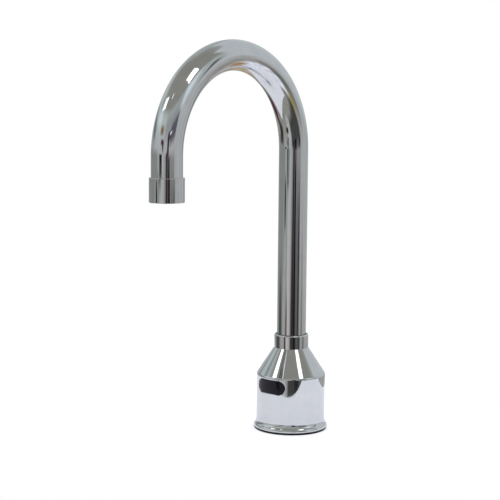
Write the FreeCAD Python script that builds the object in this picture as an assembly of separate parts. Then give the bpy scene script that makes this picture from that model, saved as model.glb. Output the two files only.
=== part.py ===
import FreeCAD, Part
import math
import os

# Deck-mounted sensor tap with a swivelling gooseneck spout. Millimetres, +Z up.
# The origin is the centre of the base gasket's underside, on the deck.
# The sensor window and the outlet face -Y.

V = FreeCAD.Vector
up = V(0, 0, 1)
along_x = V(1, 0, 0)

# --- clearances ---
running_gap = 0.05        # radial, between pieces that turn or slide on each other
ring_gap = 0.02           # radial, round a sliding seal
loose_gap = 0.1           # between pieces that only have to drop in
drop_in_gap = 0.2         # at the end of a screw or a shaft
leadthrough_gap = 0.6     # above the swivel ferrule

# --- spout tube: 7/8 inch tube with a full gooseneck bend ---
tube_r = 11.11
tube_wall = 1.0
bend_r = 70.0             # to the tube's centre line
bend_z = 215.3            # where the bend starts and ends
tube_outlet_z = 201.1
reach = 2 * bend_r
tube_bore_r = tube_r - tube_wall

# --- body: foot, cylinder, cone and collar in one casting ---
gasket_h = 1.5
body_r = 26.4
body_wall = 3.0
foot_flare = 1.97
foot_r = body_r + foot_flare
foot_corner_r = 0.4
foot_break_z = 3.1        # corners of the S-shaped flare, and their radii
foot_convex_r = 3.7
foot_concave_r = 6.6
flare_top_z = 5.85
cone_z = 42.6
cone_edge_r = 3.0
collar_wall = 1.1
collar_z = 63.1
collar_h = 10.4
collar_dome_r = 1.3
collar_z_top = collar_z + collar_h
cavity_r = body_r - body_wall
cavity_top_z = 52.0
cone_wall = 3.6           # measured across, not square to the slope

# --- swivel socket in the top of the body ---
bush_wall = 0.84
socket_r = tube_r + running_gap + bush_wall
collar_r = socket_r + collar_wall
socket_wall = 3.0
socket_floor_z = 46.5
socket_floor_h = 3.5
thrust_washer_h = 0.5
thrust_washer_bore_r = 7.0
ferrule_h = 14.0
ferrule_wall = 4.45
ferrule_spigot_h = 7.0
bush_recess = 0.35        # below the top of the collar
o_ring_r = 0.89           # section radius
o_ring_groove_h = 2.2
o_ring_z = (49.1, 52.3)
stop_z = 57.0
stop_range_deg = 60.0     # spout swing each way
stop_play_deg = 0.7
stop_groove_depth = 2.1
stop_screw_r = 2.0
stop_dog_r = 1.4
stop_thread_h = 3.3
stop_hex_af = 2.0
stop_hex_depth = 1.8

# --- base plate, gasket and fixings ---
plate_seat = 0.9          # step in the body that the plate is screwed up against
plate_r = cavity_r + plate_seat
plate_z = 2.5
plate_h = 5.0
plate_z_top = plate_z + plate_h
gasket_margin = 0.47      # inside the foot's edge
gasket_w = 7.9
gasket_lip_w = 1.1
gasket_r = foot_r - gasket_margin
stud_spacing = 26.0
stud_hole_r = 2.5         # tapping size for M6
lug_r = 3.6
lug_overlap = 0.6         # of a lug and the wall it grows from
lug_circle_r = cavity_r + lug_overlap - lug_r
lug_h = 8.0
lug_angles = (30.0, 150.0, 270.0)
plate_screw_r = 1.5
plate_screw_length = 9.0
plate_screw_head_r = 2.75
plate_screw_head_h = 2.4
plate_screw_hex_af = 2.0

# --- water inlet ---
inlet_thread_r = 4.46     # M10 x 1 at its crest
inlet_thread_h = 7.0
nipple_r = 6.6
nipple_flange_r = 8.2
nipple_flange_h = 2.0
nipple_way_r = 3.2
spigot_r = 4.9
spigot_h = 2.5
filter_r = 4.0
filter_h = 0.8
filter_seat_h = 1.2
inlet_ring_r = 0.5

# --- riser tube from the valve to the socket ---
riser_r = 4.0
riser_wall = 1.0
riser_depth = 3.5         # in the valve body's port
riser_reach = 1.5         # into the socket floor
riser_ring_r = 0.5
riser_pocket_h = 1.2
riser_pocket_r = riser_r + 2 * riser_ring_r

# --- solenoid valve: it stands between the riser tube and the body's wall ---
coil_can_r = 7.2
coil_gap = 0.8
valve_gap = 1.0
valve_y = riser_r + coil_gap + coil_can_r      # the inlet, the valve and the coil share this axis
valve_r = cavity_r - valve_gap - valve_y
valve_z = 12.0
valve_h = 14.0
port_r = 6.0              # round boss under the riser tube
valve_rim = 2.8           # outside the diaphragm, where the screws go
diaphragm_grip = 1.0      # width of the diaphragm's edge that is clamped
diaphragm_r = valve_r - valve_rim
chamber_r = diaphragm_r - diaphragm_grip
chamber_floor_h = 3.5
seat_r = 3.2
seat_bore_r = 2.2
seat_drop = 0.8           # seat below the valve body's top face
channel_z = 20.4
diaphragm_h = 0.8
diaphragm_boss_r = (seat_r + chamber_r) / 2    # midway between the seat and the chamber's wall
cover_flange_h = 2.2
cover_hub_r = 4.8
cover_hub_h = 2.0
pilot_chamber_h = 1.2
pilot_web_h = 0.6
pilot_r = 0.5
cover_screw_r = 1.0
cover_screw_circle_r = valve_r - valve_rim / 2
cover_screw_length = 8.0
cover_screw_head_r = 1.3
cover_screw_head_h = 1.2
core_tube_r = 3.4
core_tube_bore_r = 2.5
core_stop_h = 2.6
plunger_h = 7.0
plunger_travel = 1.5
spring_solid_h = 1.2      # spring fully closed
plunger_seal_r = 1.6
plunger_seal_h = 0.7
spring_r = 1.9
spring_bore_r = 1.3
coil_can_wall = 0.6
bobbin_flange_h = 0.8
bobbin_wall = 0.8
bobbin_tube_r = core_tube_r + bobbin_wall

# --- outlet and aerator ---
outlet_thread_r = 11.0    # M22 x 1, male
outlet_thread_h = 8.0
outlet_spigot_h = 7.0
outlet_wall = 2.5
outlet_bore_r = outlet_thread_r - outlet_wall
aerator_wall = 1.39
aerator_r = outlet_thread_r + running_gap + aerator_wall
aerator_h = 17.1
aerator_seam = 0.1
aerator_top_chamfer = 0.3
aerator_lip_chamfer = 0.6
aerator_lip_h = 1.5
aerator_washer_h = 1.5
cartridge_wall = 0.95
cartridge_step = 0.55
cartridge_flange_h = 1.2
cartridge_flange_r = outlet_thread_r - loose_gap
cartridge_r = cartridge_flange_r - cartridge_step
aerator_lip_r = cartridge_r - cartridge_wall
deck_h = 1.0              # perforated deck inside the cartridge
deck_drop = 1.0
jet_r = 0.6
jet_inset = 1.8
jet_circle_r = aerator_lip_r - jet_inset
jet_count = 16
screen_h = 0.4
screen_step = 1.2
screen_count = 2
regulator_margin = 0.6    # clear of the jets
regulator_r = jet_circle_r - jet_r - regulator_margin
regulator_h = 1.6
regulator_bore_r = 2.0

# --- sensor ---
window_half_length = 12.7
window_half_height = 5.45
window_z = 35.65
window_recess = 0.15
rebate = 0.45
rebate_depth = 0.25
window_flange = 1.5       # the lens's flange stands this far out, behind the wall
window_flange_h = 1.5
window_gasket_h = 0.5
lens_h = 2.0
lens_wall = 1.9
housing_inset = 0.3
housing_overhang = 0.85
housing_depth = 10.4
housing_wall = 1.2
board_h = 1.0
board_step = 1.5
divider_half_width = 1.4
led_r = 2.5
led_x = 5.5
led_h = 3.4
boss_inset = 6.0          # from the cavity's side to a boss
boss_r = 2.8
boss_reach = 6.0
bracket_h = 1.0
bracket_end = 2.2         # strip beyond each screw
bracket_half_height = 3.6
bracket_screw_r = 1.25
bracket_screw_length = 5.0
bracket_screw_head_r = 2.2
bracket_screw_head_h = 1.5
chip_size = (5.0, 0.8, 4.0)

# --- power inlet and leads ---
power_gap = 0.4           # between the socket's flange and the front lug
power_r = 4.4
power_flange_r = 5.4
power_flange_h = 1.5
power_h = 9.0
power_socket_r = 2.75
power_socket_depth = 7.5
power_pin_r = 1.0
lead_r = 0.9
lead_bend_r = 2.5
lead_offset = 2.2
lead_gap = 2.6            # between the valve and its lead
lead_drop = 5.0           # straight end of the sensor's lead
lead_rise = 7.0           # straight end of each lead over the socket

# --- places that follow from the sizes above ---
ferrule_z = socket_floor_z + thrust_washer_h
ferrule_z_top = ferrule_z + ferrule_h
valve_z_top = valve_z + valve_h
cover_z = valve_z_top + diaphragm_h
hub_z = cover_z + cover_flange_h
coil_z = hub_z + cover_hub_h
pilot_z = cover_z + pilot_chamber_h + pilot_web_h
plunger_z = pilot_z + plunger_seal_h
spring_z = plunger_z + plunger_h
spring_z_top = spring_z + plunger_travel + spring_solid_h
core_tube_z_top = spring_z_top + core_stop_h
riser_z_top = socket_floor_z - socket_floor_h + riser_reach
riser_bore_r = riser_r - riser_wall
aerator_z_top = tube_outlet_z - aerator_seam
aerator_z = aerator_z_top - aerator_h
outlet_thread_z = tube_outlet_z - outlet_thread_h
aerator_bore_r = outlet_thread_r + running_gap
cartridge_z_top = outlet_thread_z - aerator_washer_h
cartridge_ledge_z = cartridge_z_top - cartridge_flange_h
cartridge_z = aerator_z + aerator_lip_h
window_inner_r = cavity_r - window_gasket_h
housing_face_r = window_inner_r - window_flange_h
housing_half_length = window_half_length - housing_inset
housing_half_height = window_half_height + housing_overhang
housing_back_y = housing_depth - housing_face_r
board_y = housing_back_y - housing_wall - board_step
power_z_top = plate_z + power_h

ferrule_bore_r = socket_r - running_gap - ferrule_wall
stop_groove_r = socket_r - stop_groove_depth
stop_dog_y = socket_r + drop_in_gap + loose_gap
stop_screw_y = stop_dog_y + stop_thread_h
stop_groove_h = 2 * (stop_dog_r + 1.5 * drop_in_gap)
boss_x = cavity_r - boss_inset
bracket_half_length = boss_x + bracket_end
power_y = power_gap + power_flange_r + lug_r - lug_circle_r
lead_x = valve_r + lead_gap

counts = {}


# ---------- shapes ----------

def rod(radius, z_low, z_high, x=0.0, y=0.0):
    return Part.makeCylinder(radius, z_high - z_low, V(x, y, z_low), up)


def ring(outer_r, inner_r, z_low, z_high, x=0.0, y=0.0):
    return rod(outer_r, z_low, z_high, x, y).cut(rod(inner_r, z_low, z_high, x, y))


def rod_along(radius, start, end):
    return Part.makeCylinder(radius, (end - start).Length, start, end - start)


def block(x_span, y_span, z_span):
    size = [span[1] - span[0] for span in (x_span, y_span, z_span)]
    return Part.makeBox(*size, V(x_span[0], y_span[0], z_span[0]))


def hexagon(across_flats, z_low, z_high):
    corner_r = across_flats / math.sqrt(3)
    points = [V(corner_r, 0, z_low)]
    for turn in range(1, 7):
        angle = math.radians(60 * turn)
        points.append(V(corner_r * math.cos(angle), corner_r * math.sin(angle), z_low))
    return Part.Face(Part.makePolygon(points)).extrude(V(0, 0, z_high - z_low))


def rounded_edges(corners):
    """Edges of a closed outline. Each corner is (point, fillet radius)."""
    stretches = []
    total = len(corners)
    for i, (point, radius) in enumerate(corners):
        before = (corners[i - 1][0] - point).normalize()
        after = (corners[(i + 1) % total][0] - point).normalize()
        if radius == 0:
            stretches.append((point, None, point))
            continue
        half_angle = before.getAngle(after) / 2
        tangent = radius / math.tan(half_angle)
        middle = (before + after).normalize()
        depth = radius / math.sin(half_angle) - radius
        stretches.append((point + before * tangent, point + middle * depth, point + after * tangent))
    edges = []
    for i, (start, mid, end) in enumerate(stretches):
        if mid is not None:
            edges.append(Part.Arc(start, mid, end).toShape())
        following = stretches[(i + 1) % total][0]
        edges.append(Part.LineSegment(end, following).toShape())
    return edges


def turned(corners):
    """Solid of revolution about Z. Each corner is (radius, height) or (radius, height, fillet)."""
    outline = [(V(c[0], 0, c[1]), c[2] if len(c) > 2 else 0) for c in corners]
    face = Part.Face(Part.Wire(rounded_edges(outline)))
    return face.revolve(V(0, 0, 0), up, 360)


def obround(half_length, half_height, y_near, y_far):
    """Prism along Y with full-round ends, at the height of the sensor window."""
    straight = half_length - half_height
    middle = block((-straight, straight), (y_far, y_near),
                   (window_z - half_height, window_z + half_height))
    ends = []
    for side in (-1, 1):
        near_end = V(side * straight, y_near, window_z)
        ends.append(rod_along(half_height, near_end, V(side * straight, y_far, window_z)))
    return middle.multiFuse(ends).removeSplitter()


def shell_between(outer_r, inner_r):
    """Tall thin-walled cylinder that follows the body's round wall."""
    return ring(outer_r, inner_r, plate_z, cone_z + body_wall)


def around(shape, angles, centre=V(0, 0, 0)):
    copies = []
    for angle in angles:
        copy = shape.copy()
        copy.rotate(centre, up, angle)
        copies.append(copy)
    return copies


def cap_screw(shank_r, length, head_r, head_h, hex_af):
    """Screw with its head below z = 0 and its shank up to z = length."""
    shape = rod(shank_r, 0, length).fuse(rod(head_r, -head_h, 0))
    return shape.cut(hexagon(hex_af, -head_h, -head_h / 2))


def tube_path(points, bend):
    """Straight runs joined by tangent arcs."""
    edges = []
    start = points[0]
    for before, corner, after in zip(points, points[1:], points[2:]):
        back = (before - corner).normalize()
        ahead = (after - corner).normalize()
        half_angle = back.getAngle(ahead) / 2
        tangent = bend / math.tan(half_angle)
        middle = (back + ahead).normalize()
        depth = bend / math.sin(half_angle) - bend
        arc_start = corner + back * tangent
        arc_end = corner + ahead * tangent
        edges.append(Part.LineSegment(start, arc_start).toShape())
        edges.append(Part.Arc(arc_start, corner + middle * depth, arc_end).toShape())
        start = arc_end
    edges.append(Part.LineSegment(start, points[-1]).toShape())
    return Part.Wire(edges)


def lead(points):
    path = tube_path(points, lead_bend_r)
    section = Part.Wire(Part.makeCircle(lead_r, points[0], points[1] - points[0]))
    shape = path.makePipeShell([section], True, False)
    expected = math.pi * lead_r ** 2 * path.Length
    print("lead length %.1f, volume %.3f of section times length" % (path.Length, shape.Volume / expected))
    return shape


def save(name, solids):
    """Write one node, made of one or more separate solids."""
    group = solids if isinstance(solids, list) else [solids]
    shape = group[0] if len(group) == 1 else Part.makeCompound(group)
    counts[name] = len(shape.Solids)
    if not shape.isValid() or len(shape.Solids) != len(group):
        print("CHECK", name, "valid", shape.isValid(), "solids", len(shape.Solids), "of", len(group))
    shape.exportStep("parts/" + name + ".step")


# ---------- body ----------

def cone_radius(z):
    """Outer radius of the cone at a height."""
    return body_r + (collar_r - body_r) * (z - cone_z) / (collar_z - cone_z)


def body_outside():
    return turned([
        (0, gasket_h),
        (foot_r, gasket_h, foot_corner_r),
        (foot_r, foot_break_z, foot_convex_r - foot_corner_r),
        (body_r, flare_top_z, foot_concave_r),
        (body_r, cone_z, cone_edge_r),
        (collar_r, collar_z),
        (collar_r, collar_z_top, collar_dome_r),
        (0, collar_z_top),
    ])


def body_cavity():
    return turned([
        (0, gasket_h),
        (plate_r + loose_gap, gasket_h),
        (plate_r + loose_gap, plate_z_top),
        (cavity_r, plate_z_top),
        (cavity_r, cone_z),
        (cone_radius(cavity_top_z) - cone_wall, cavity_top_z),
        (0, cavity_top_z),
    ])


def socket_boss():
    return rod(socket_r + socket_wall, socket_floor_z - socket_floor_h, cavity_top_z)


def socket_bores():
    floor_z = socket_floor_z - socket_floor_h
    bores = rod(socket_r, socket_floor_z, collar_z_top)
    return bores.multiFuse([
        rod(riser_bore_r, floor_z, socket_floor_z),
        rod(riser_r, floor_z, riser_z_top),
        rod(riser_pocket_r, floor_z, floor_z + riser_pocket_h),
    ])


def lug_places():
    return [V(lug_circle_r * math.cos(math.radians(a)), lug_circle_r * math.sin(math.radians(a)), 0)
            for a in lug_angles]


def plate_lugs():
    """Bosses on the inner wall that take the base plate's screws."""
    within = rod(body_r - body_wall / 2, plate_z_top, plate_z_top + lug_h)
    return [rod(lug_r, plate_z_top, plate_z_top + lug_h, p.x, p.y).common(within) for p in lug_places()]


def sensor_bosses():
    """Bosses on the inner wall, one each side of the window, that take the bracket's screws."""
    within = rod(body_r - body_wall / 2, 0, cone_z)
    bosses = []
    for side in (-1, 1):
        start = V(side * boss_x, housing_back_y, window_z)
        end = V(side * boss_x, housing_back_y - boss_reach, window_z)
        bosses.append(rod_along(boss_r, start, end).common(within))
    return bosses


def window_cut():
    through = obround(window_half_length, window_half_height, housing_back_y, -body_r - body_wall)
    wide = obround(window_half_length + rebate, window_half_height + rebate, 0, -body_r - body_wall)
    shallow = wide.cut(rod(body_r - rebate_depth, 0, cone_z))
    return through.fuse(shallow)


def body_shell():
    shape = body_outside().cut(body_cavity())
    shape = shape.multiFuse([socket_boss()] + plate_lugs() + sensor_bosses())
    shape = shape.cut(socket_bores())
    shape = shape.cut(window_cut())
    stop_hole = rod_along(stop_screw_r, V(0, socket_r - loose_gap, stop_z), V(0, body_r, stop_z))
    shape = shape.cut(stop_hole)
    screw_hole_top = plate_z_top + plate_screw_length - (plate_h - plate_screw_head_h)
    for place in lug_places():
        shape = shape.cut(rod(plate_screw_r, plate_z_top, screw_hole_top, place.x, place.y))
    for side in (-1, 1):
        start = V(side * boss_x, housing_back_y, window_z)
        depth = bracket_screw_length - bracket_h
        shape = shape.cut(rod_along(bracket_screw_r, start, start + V(0, -depth, 0)))
    return shape.removeSplitter()


def base_gasket():
    """Flat ring with a lip that sits inside the foot, under the plate's edge."""
    flat = ring(gasket_r, gasket_r - gasket_w, 0, gasket_h)
    lip = ring(plate_r, plate_r - gasket_lip_w, gasket_h, plate_z)
    return flat.fuse(lip).removeSplitter()


def base_plate():
    shape = rod(plate_r, plate_z, plate_z_top)
    cuts = [rod(nipple_r, plate_z, plate_z_top, 0, valve_y),
            rod(power_r, plate_z, plate_z_top, 0, power_y)]
    for side in (-1, 1):
        cuts.append(rod(stud_hole_r, plate_z, plate_z_top, side * stud_spacing / 2))
    for place in lug_places():
        cuts.append(rod(plate_screw_r, plate_z, plate_z_top, place.x, place.y))
        cuts.append(rod(plate_screw_head_r, plate_z, plate_z + plate_screw_head_h, place.x, place.y))
    return shape.cut(cuts)


def plate_screws():
    screws = []
    for place in lug_places():
        screw = cap_screw(plate_screw_r, plate_screw_length, plate_screw_head_r,
                          plate_screw_head_h, plate_screw_hex_af)
        screw.translate(place + V(0, 0, plate_z + plate_screw_head_h))
        screws.append(screw)
    return screws


# ---------- water inlet and valve ----------

def inlet_nipple():
    flange_z_top = plate_z_top + nipple_flange_h
    spigot_z_top = valve_z + spigot_h
    shape = rod(nipple_r, plate_z, valve_z, 0, valve_y)
    shape = shape.multiFuse([
        rod(nipple_flange_r, plate_z_top, flange_z_top, 0, valve_y),
        rod(spigot_r, valve_z, spigot_z_top, 0, valve_y),
    ])
    return shape.cut([
        rod(inlet_thread_r, plate_z, plate_z + inlet_thread_h, 0, valve_y),
        rod(nipple_way_r, plate_z, spigot_z_top, 0, valve_y),
        rod(filter_r, spigot_z_top - filter_seat_h, spigot_z_top, 0, valve_y),
    ]).removeSplitter()


def inlet_filter():
    seat_z = valve_z + spigot_h - filter_seat_h
    return rod(filter_r, seat_z, seat_z + filter_h, 0, valve_y)


def round_ring(major_r, minor_r, z, y=0.0):
    return Part.makeTorus(major_r, minor_r, V(0, y, z), up)


def nipple_seal():
    return round_ring(spigot_r + inlet_ring_r, inlet_ring_r, valve_z + inlet_ring_r, valve_y)


def valve_screw_angles():
    return [45 + 90 * turn for turn in range(4)]


def valve_screw_shape(radius, z_low, z_high):
    """One screw-sized rod beside the valve's axis, to be copied round it."""
    return rod(radius, z_low, z_high, cover_screw_circle_r, valve_y)


def valve_body():
    shape = rod(valve_r, valve_z, valve_z_top, 0, valve_y).multiFuse([
        rod(port_r, valve_z, valve_z_top),
        block((-port_r, port_r), (0, valve_y), (valve_z, valve_z_top)),
    ])
    floor_z = valve_z + chamber_floor_h
    seat_z = valve_z_top - seat_drop
    shape = shape.cut([
        rod(chamber_r, floor_z, valve_z_top, 0, valve_y),
        rod(filter_r, valve_z, floor_z, 0, valve_y),
        rod(spigot_r + loose_gap, valve_z, valve_z + spigot_h, 0, valve_y),
        rod(spigot_r + 2 * inlet_ring_r, valve_z, valve_z + 2 * inlet_ring_r, 0, valve_y),
    ])
    shape = shape.multiFuse([
        rod(seat_r, channel_z, seat_z, 0, valve_y),
        rod_along(seat_r, V(0, valve_y, channel_z), V(0, 0, channel_z)),
        Part.makeSphere(seat_r, V(0, valve_y, channel_z)),
    ])
    port_z = valve_z_top - riser_depth
    shape = shape.cut([
        rod(seat_bore_r, channel_z, seat_z, 0, valve_y),
        rod_along(seat_bore_r, V(0, valve_y, channel_z), V(0, 0, channel_z)),
        Part.makeSphere(seat_bore_r, V(0, valve_y, channel_z)),
        Part.makeSphere(seat_bore_r, V(0, 0, channel_z)),
        rod(seat_bore_r, channel_z, port_z),
        rod(riser_r, port_z, valve_z_top),
        rod(riser_pocket_r, valve_z_top - riser_pocket_h, valve_z_top),
    ])
    hole_z = hub_z - cover_screw_length
    hole = valve_screw_shape(cover_screw_r, hole_z, valve_z_top)
    return shape.cut(around(hole, valve_screw_angles(), V(0, valve_y, 0))).removeSplitter()


def diaphragm():
    seat_z = valve_z_top - seat_drop
    sheet = rod(diaphragm_r, valve_z_top, cover_z, 0, valve_y)
    return sheet.fuse(rod(diaphragm_boss_r, seat_z, cover_z, 0, valve_y)).removeSplitter()


def valve_cover():
    """Flange over the diaphragm, pilot nozzle and the hub that holds the core tube."""
    shape = rod(valve_r, cover_z - diaphragm_h, hub_z, 0, valve_y)
    shape = shape.fuse(rod(cover_hub_r, hub_z, coil_z, 0, valve_y))
    riser_way = rod(riser_pocket_r + loose_gap, valve_z_top, hub_z)
    shape = shape.cut([
        riser_way,
        rod(diaphragm_r, valve_z_top, cover_z, 0, valve_y),
        rod(chamber_r, cover_z, cover_z + pilot_chamber_h, 0, valve_y),
        rod(pilot_r, cover_z, pilot_z, 0, valve_y),
        rod(core_tube_r, pilot_z, coil_z, 0, valve_y),
    ])
    hole = valve_screw_shape(cover_screw_r, valve_z_top, hub_z)
    return shape.cut(around(hole, valve_screw_angles(), V(0, valve_y, 0)))


def cover_screws():
    shank = valve_screw_shape(cover_screw_r, hub_z - cover_screw_length, hub_z)
    head = valve_screw_shape(cover_screw_head_r, hub_z, hub_z + cover_screw_head_h)
    slot = block((cover_screw_circle_r - cover_screw_head_r, cover_screw_circle_r + cover_screw_head_r),
                 (valve_y - cover_screw_r / 4, valve_y + cover_screw_r / 4),
                 (hub_z + cover_screw_head_h / 2, hub_z + cover_screw_head_h))
    screw = shank.fuse(head).cut(slot)
    return around(screw, valve_screw_angles(), V(0, valve_y, 0))


def core_tube():
    shape = rod(core_tube_r, pilot_z, core_tube_z_top, 0, valve_y)
    return shape.cut(rod(core_tube_bore_r, pilot_z, spring_z_top, 0, valve_y))


def plunger():
    return rod(core_tube_bore_r - running_gap, plunger_z, spring_z, 0, valve_y)


def plunger_seal():
    return rod(plunger_seal_r, pilot_z, plunger_z, 0, valve_y)


def plunger_spring():
    return ring(spring_r, spring_bore_r, spring_z, spring_z_top, 0, valve_y)


def coil_can():
    shape = rod(coil_can_r, coil_z, core_tube_z_top, 0, valve_y)
    inside = rod(coil_can_r - coil_can_wall, coil_z + coil_can_wall,
                 core_tube_z_top - coil_can_wall, 0, valve_y)
    return shape.cut([inside, rod(core_tube_r, coil_z, core_tube_z_top, 0, valve_y)])


def coil_bobbin():
    z_low = coil_z + coil_can_wall
    z_high = core_tube_z_top - coil_can_wall
    flange_r = coil_can_r - coil_can_wall
    shape = rod(bobbin_tube_r, z_low, z_high, 0, valve_y).multiFuse([
        rod(flange_r, z_low, z_low + bobbin_flange_h, 0, valve_y),
        rod(flange_r, z_high - bobbin_flange_h, z_high, 0, valve_y),
    ])
    return shape.cut(rod(core_tube_r, z_low, z_high, 0, valve_y)).removeSplitter()


def coil_winding():
    z_low = coil_z + coil_can_wall + bobbin_flange_h
    z_high = core_tube_z_top - coil_can_wall - bobbin_flange_h
    return ring(coil_can_r - coil_can_wall - drop_in_gap, bobbin_tube_r, z_low, z_high, 0, valve_y)


def riser_tube():
    return ring(riser_r, riser_bore_r, valve_z_top - riser_depth, riser_z_top)


def riser_seals():
    low_z = valve_z_top - riser_ring_r - loose_gap
    high_z = socket_floor_z - socket_floor_h + riser_ring_r + loose_gap
    return [round_ring(riser_r + riser_ring_r, riser_ring_r, z) for z in (low_z, high_z)]


# ---------- swivel ----------

def thrust_washer():
    return ring(socket_r - loose_gap, thrust_washer_bore_r, socket_floor_z, ferrule_z)


def stop_groove():
    """Arc channel at the back, as long as the spout's swing and the screw's tip."""
    tip_half_deg = math.degrees(math.asin(stop_dog_r / (stop_groove_r + drop_in_gap)))
    half_deg = stop_range_deg + tip_half_deg + stop_play_deg
    low_z, high_z = stop_z - stop_groove_h / 2, stop_z + stop_groove_h / 2
    outline = Part.makePolygon([
        V(stop_groove_r, 0, low_z),
        V(socket_r, 0, low_z),
        V(socket_r, 0, high_z),
        V(stop_groove_r, 0, high_z),
        V(stop_groove_r, 0, low_z),
    ])
    channel = Part.Face(outline).revolve(V(0, 0, 0), up, 2 * half_deg)
    channel.rotate(V(0, 0, 0), up, 90 - half_deg)
    return channel


def spout_ferrule():
    outer_r = socket_r - running_gap
    shape = rod(outer_r, ferrule_z, ferrule_z_top)
    shape = shape.fuse(rod(tube_bore_r, ferrule_z_top, ferrule_z_top + ferrule_spigot_h))
    shape = shape.cut(rod(ferrule_bore_r, ferrule_z, ferrule_z_top + ferrule_spigot_h))
    floor_r = socket_r - ring_gap - 2 * o_ring_r
    for z in o_ring_z:
        shape = shape.cut(ring(socket_r, floor_r, z - o_ring_groove_h / 2, z + o_ring_groove_h / 2))
    return shape.cut(stop_groove())


def ferrule_seals():
    return [round_ring(socket_r - ring_gap - o_ring_r, o_ring_r, z) for z in o_ring_z]


def swivel_bush():
    return ring(socket_r, tube_r + running_gap, ferrule_z_top + leadthrough_gap, collar_z_top - bush_recess)


def stop_screw():
    tip = V(0, stop_groove_r + drop_in_gap, stop_z)
    shoulder = V(0, stop_dog_y, stop_z)
    outer_end = V(0, stop_screw_y, stop_z)
    shape = rod_along(stop_dog_r, tip, outer_end).fuse(rod_along(stop_screw_r, shoulder, outer_end))
    socket = hexagon(stop_hex_af, -stop_hex_depth, 0)
    socket.rotate(V(0, 0, 0), along_x, -90)
    socket.translate(outer_end)
    return shape.cut(socket).removeSplitter()


# ---------- spout ----------

def gooseneck(radius, z_low, z_outlet):
    stem = rod(radius, z_low, bend_z)
    leg = rod(radius, z_outlet, bend_z, 0, -reach)
    section = Part.Face(Part.Wire(Part.makeCircle(radius, V(0, 0, bend_z), up)))
    bend = section.revolve(V(0, -bend_r, bend_z), along_x, 180)
    return stem.multiFuse([bend, leg]).removeSplitter()


def spout_tube():
    outside = gooseneck(tube_r, ferrule_z_top, tube_outlet_z)
    inside = gooseneck(tube_bore_r, ferrule_z_top, tube_outlet_z)
    return outside.cut(inside)


def outlet_nipple():
    z_top = tube_outlet_z + outlet_spigot_h
    shape = rod(outlet_thread_r, outlet_thread_z, tube_outlet_z, 0, -reach)
    shape = shape.fuse(rod(tube_bore_r, tube_outlet_z, z_top, 0, -reach))
    return shape.cut(rod(outlet_bore_r, outlet_thread_z, z_top, 0, -reach))


def outlet_turned(corners):
    shape = turned(corners)
    shape.translate(V(0, -reach, 0))
    return shape


def aerator_shell():
    return outlet_turned([
        (aerator_lip_r, aerator_z),
        (aerator_r - aerator_lip_chamfer, aerator_z),
        (aerator_r, aerator_z + aerator_lip_chamfer),
        (aerator_r, aerator_z_top - aerator_top_chamfer),
        (aerator_r - aerator_top_chamfer, aerator_z_top),
        (aerator_bore_r, aerator_z_top),
        (aerator_bore_r, cartridge_ledge_z),
        (cartridge_r + running_gap, cartridge_ledge_z),
        (cartridge_r + running_gap, cartridge_z),
        (aerator_lip_r, cartridge_z),
    ])


def aerator_washer():
    return ring(cartridge_flange_r, outlet_bore_r, cartridge_z_top, outlet_thread_z, 0, -reach)


def aerator_cartridge():
    """Flanged cup with a deck of jet holes across it."""
    deck_z = cartridge_ledge_z - deck_drop
    shape = outlet_turned([
        (aerator_lip_r, cartridge_z),
        (cartridge_r, cartridge_z),
        (cartridge_r, cartridge_ledge_z),
        (cartridge_flange_r, cartridge_ledge_z),
        (cartridge_flange_r, cartridge_z_top),
        (aerator_lip_r, cartridge_z_top),
    ])
    shape = shape.fuse(rod(aerator_lip_r, deck_z, deck_z + deck_h, 0, -reach))
    jet = rod(jet_r, deck_z, deck_z + deck_h, jet_circle_r, -reach)
    angles = [360 * turn / jet_count for turn in range(jet_count)]
    return shape.cut(around(jet, angles, V(0, -reach, 0))).removeSplitter()


def aerator_screens():
    screens = []
    for layer in range(screen_count):
        z = cartridge_z + layer * screen_step
        screens.append(rod(aerator_lip_r, z, z + screen_h, 0, -reach))
    return screens


def flow_regulator():
    deck_z_top = cartridge_ledge_z - deck_drop + deck_h
    return ring(regulator_r, regulator_bore_r, deck_z_top, deck_z_top + regulator_h, 0, -reach)


# ---------- sensor ----------

def sensor_window():
    """Lens that fills the opening from behind, with a flange against the wall's inside."""
    plug = obround(window_half_length - loose_gap, window_half_height - loose_gap, 0, -body_r)
    plug = plug.common(shell_between(body_r - window_recess, window_inner_r))
    flange = obround(window_half_length + window_flange, window_half_height + window_flange, 0, -body_r)
    flange = flange.common(shell_between(window_inner_r, housing_face_r))
    pocket = obround(window_half_length - lens_wall, window_half_height - lens_wall, 0, -body_r)
    pocket = pocket.common(rod(body_r - window_recess - lens_h, plate_z, cone_z + body_wall))
    return plug.fuse(flange).cut(pocket).removeSplitter()


def window_gasket():
    outer = obround(window_half_length + window_flange, window_half_height + window_flange, 0, -body_r)
    inner = obround(window_half_length, window_half_height, 0, -body_r)
    return outer.cut(inner).common(shell_between(cavity_r, window_inner_r))


def sensor_block(margin, y_back):
    """Block behind the window, rounded at the front to the lens's flange."""
    half_x = housing_half_length - margin
    half_z = housing_half_height - margin
    shape = block((-half_x, half_x), (-body_r, y_back), (window_z - half_z, window_z + half_z))
    return shape.common(rod(housing_face_r, plate_z, cone_z + body_wall))


def sensor_housing():
    back_y = housing_back_y - housing_wall
    shape = sensor_block(0, housing_back_y).cut(sensor_block(housing_wall, board_y))
    return shape.cut(sensor_block(housing_wall + board_step, back_y))


def circuit_board():
    half_x = housing_half_length - housing_wall
    half_z = housing_half_height - housing_wall
    shape = block((-half_x, half_x), (board_y - board_h, board_y), (window_z - half_z, window_z + half_z))
    return shape.common(rod(housing_face_r, plate_z, cone_z + body_wall))


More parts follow.
